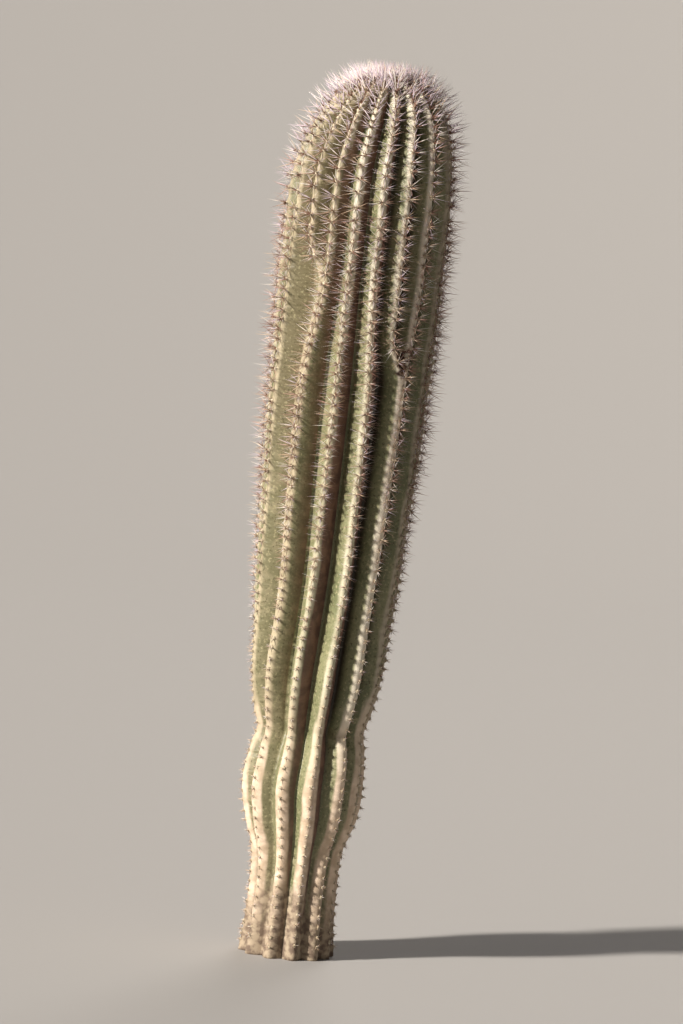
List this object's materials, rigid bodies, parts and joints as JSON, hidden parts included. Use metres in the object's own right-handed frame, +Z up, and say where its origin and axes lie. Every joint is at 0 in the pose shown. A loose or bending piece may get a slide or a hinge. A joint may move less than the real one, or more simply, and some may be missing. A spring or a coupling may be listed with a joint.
{
  "type": "saguaro cactus",
  "caption": "Young saguaro cactus: a leaning, club-shaped, ribbed stem without arms, pinched near its foot, with rows of spines on the rib crests and a spiny crown.",
  "frame": {"origin": "middle of the flat cut under the stem, at ground level", "axes": "+Z up; the picture looks along +Y, so -Y is the side that it shows and +X is to the right, the way the stem leans"},
  "size_m": [0.4775, 0.4729, 2.1002],
  "materials": {
    "skin": "matte, waxy",
    "spines": "matte",
    "tuft": "matte, felted"
  },
  "bodies": {
    "root": {"stem": "skin", "spine_row_01": "spines", "spine_row_02": "spines", "spine_row_03": "spines", "spine_row_04": "spines", "spine_row_05": "spines", "spine_row_06": "spines", "spine_row_07": "spines", "spine_row_08": "spines", "spine_row_09": "spines", "spine_row_10": "spines", "spine_row_11": "spines", "spine_row_12": "spines", "spine_row_13": "spines", "spine_row_14": "spines", "spine_row_15": "spines", "spine_row_16": "spines", "spine_row_17": "spines", "crown_tuft": "tuft"}
  },
  "joints": []
}
